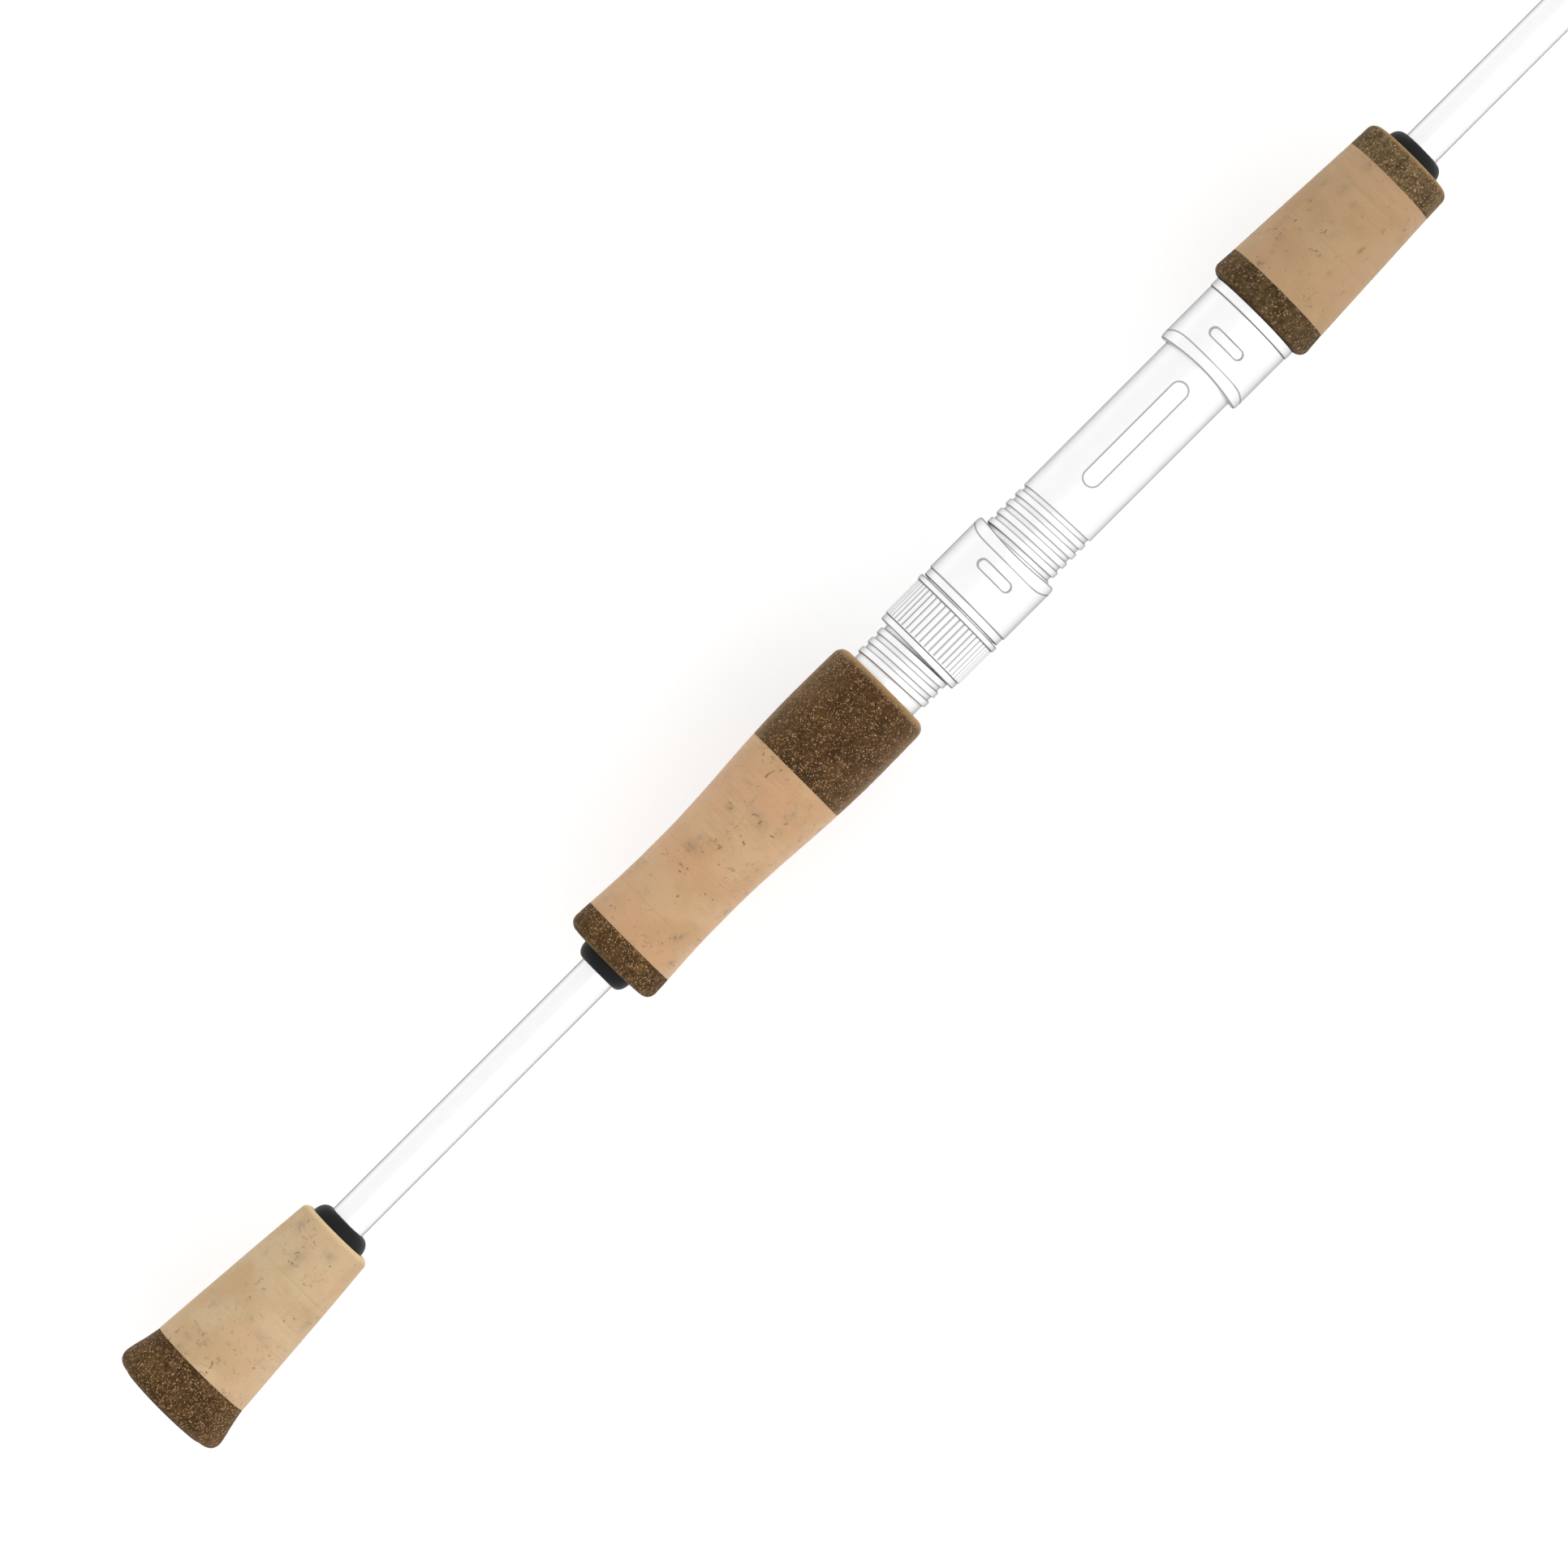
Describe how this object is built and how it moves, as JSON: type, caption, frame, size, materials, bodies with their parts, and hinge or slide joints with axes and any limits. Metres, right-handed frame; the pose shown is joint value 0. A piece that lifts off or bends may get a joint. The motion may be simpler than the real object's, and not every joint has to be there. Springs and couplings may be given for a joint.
{
  "type": "spinning rod",
  "caption": "Light two-piece spinning rod with a split cork handle, burl cork end rings, a threaded seat with a sliding hood and lock nut, and ringed line guides.",
  "frame": {"origin": "centre of the flat on the butt's end face, on the rod's centre line", "axes": "+X along the rod from butt to tip, +Z out of the side of the seat with the windows, the reel's foot and the line guides on -Z"},
  "size_m": [1.676, 0.026, 0.0482],
  "materials": {
    "natural_cork": "matte",
    "burl_cork": "matte",
    "light_burl_cork": "matte",
    "check_rubber": "satin",
    "seat_plastic": "satin",
    "arbor_foam": "matte",
    "hood_metal": "satin",
    "liner_plastic": "satin",
    "blank_gloss": "gloss",
    "thread_wrap": "gloss",
    "guide_wire": "satin",
    "guide_ceramic": "polished"
  },
  "bodies": {
    "handle": {"butt_cap_burl": "burl_cork", "butt_cork_ring_1": "natural_cork", "butt_cork_ring_2": "natural_cork", "butt_cork_ring_3": "natural_cork", "butt_winding_check": "check_rubber", "rear_winding_check": "check_rubber", "rear_burl_ring": "burl_cork", "rear_cork_ring_1": "natural_cork", "rear_cork_ring_2": "natural_cork", "rear_cork_ring_3": "natural_cork", "rear_cork_ring_4": "natural_cork", "rear_burl_collar": "burl_cork", "fore_burl_ring_rear": "light_burl_cork", "fore_cork_ring_1": "natural_cork", "fore_cork_ring_2": "natural_cork", "fore_cork_ring_3": "natural_cork", "fore_burl_ring_front": "light_burl_cork", "fore_winding_check": "check_rubber", "seat_barrel": "seat_plastic", "seat_arbor_rear": "arbor_foam", "seat_arbor_middle": "arbor_foam", "seat_arbor_front": "arbor_foam", "front_hood_shell": "hood_metal", "front_hood_liner": "liner_plastic", "front_trim_ring": "hood_metal", "blank_butt_section": "blank_gloss", "guide_1_frame": "guide_wire", "guide_1_ring": "guide_ceramic", "guide_1_wraps": "thread_wrap"},
    "sliding_hood": {"sliding_hood_shell": "hood_metal", "sliding_hood_liner": "liner_plastic"},
    "lock_nut": {"lock_nut": "hood_metal"},
    "tip_section": {"blank_tip_section": "blank_gloss", "ferrule_wrap": "thread_wrap", "guide_2_frame": "guide_wire", "guide_2_ring": "guide_ceramic", "guide_2_wraps": "thread_wrap", "guide_3_frame": "guide_wire", "guide_3_ring": "guide_ceramic", "guide_3_wraps": "thread_wrap", "guide_4_frame": "guide_wire", "guide_4_ring": "guide_ceramic", "guide_4_wraps": "thread_wrap", "guide_5_frame": "guide_wire", "guide_5_ring": "guide_ceramic", "guide_5_wraps": "thread_wrap", "guide_6_frame": "guide_wire", "guide_6_ring": "guide_ceramic", "guide_6_wraps": "thread_wrap", "tip_top_frame": "guide_wire", "tip_top_ring": "guide_ceramic", "tip_top_wrap": "thread_wrap"}
  },
  "joints": [
    {"name": "hood_slide", "type": "slide", "parent": "handle", "child": "sliding_hood", "axis": [1, 0, 0], "range_m": [-0.0081, 0.0221]},
    {"name": "nut_turn", "type": "hinge", "parent": "sliding_hood", "child": "lock_nut", "pos_m": [0.2138, 0, 0], "axis": [1, 0, 0], "range_deg": [-1133, 3117]},
    {"name": "ferrule_slide", "type": "slide", "parent": "handle", "child": "tip_section", "axis": [1, 0, 0], "range_m": [0, 0.09]}
  ],
  "couplings": [
    {"joint": "hood_slide", "follows": "nut_turn", "m_per_rad": 0.00040425}
  ]
}
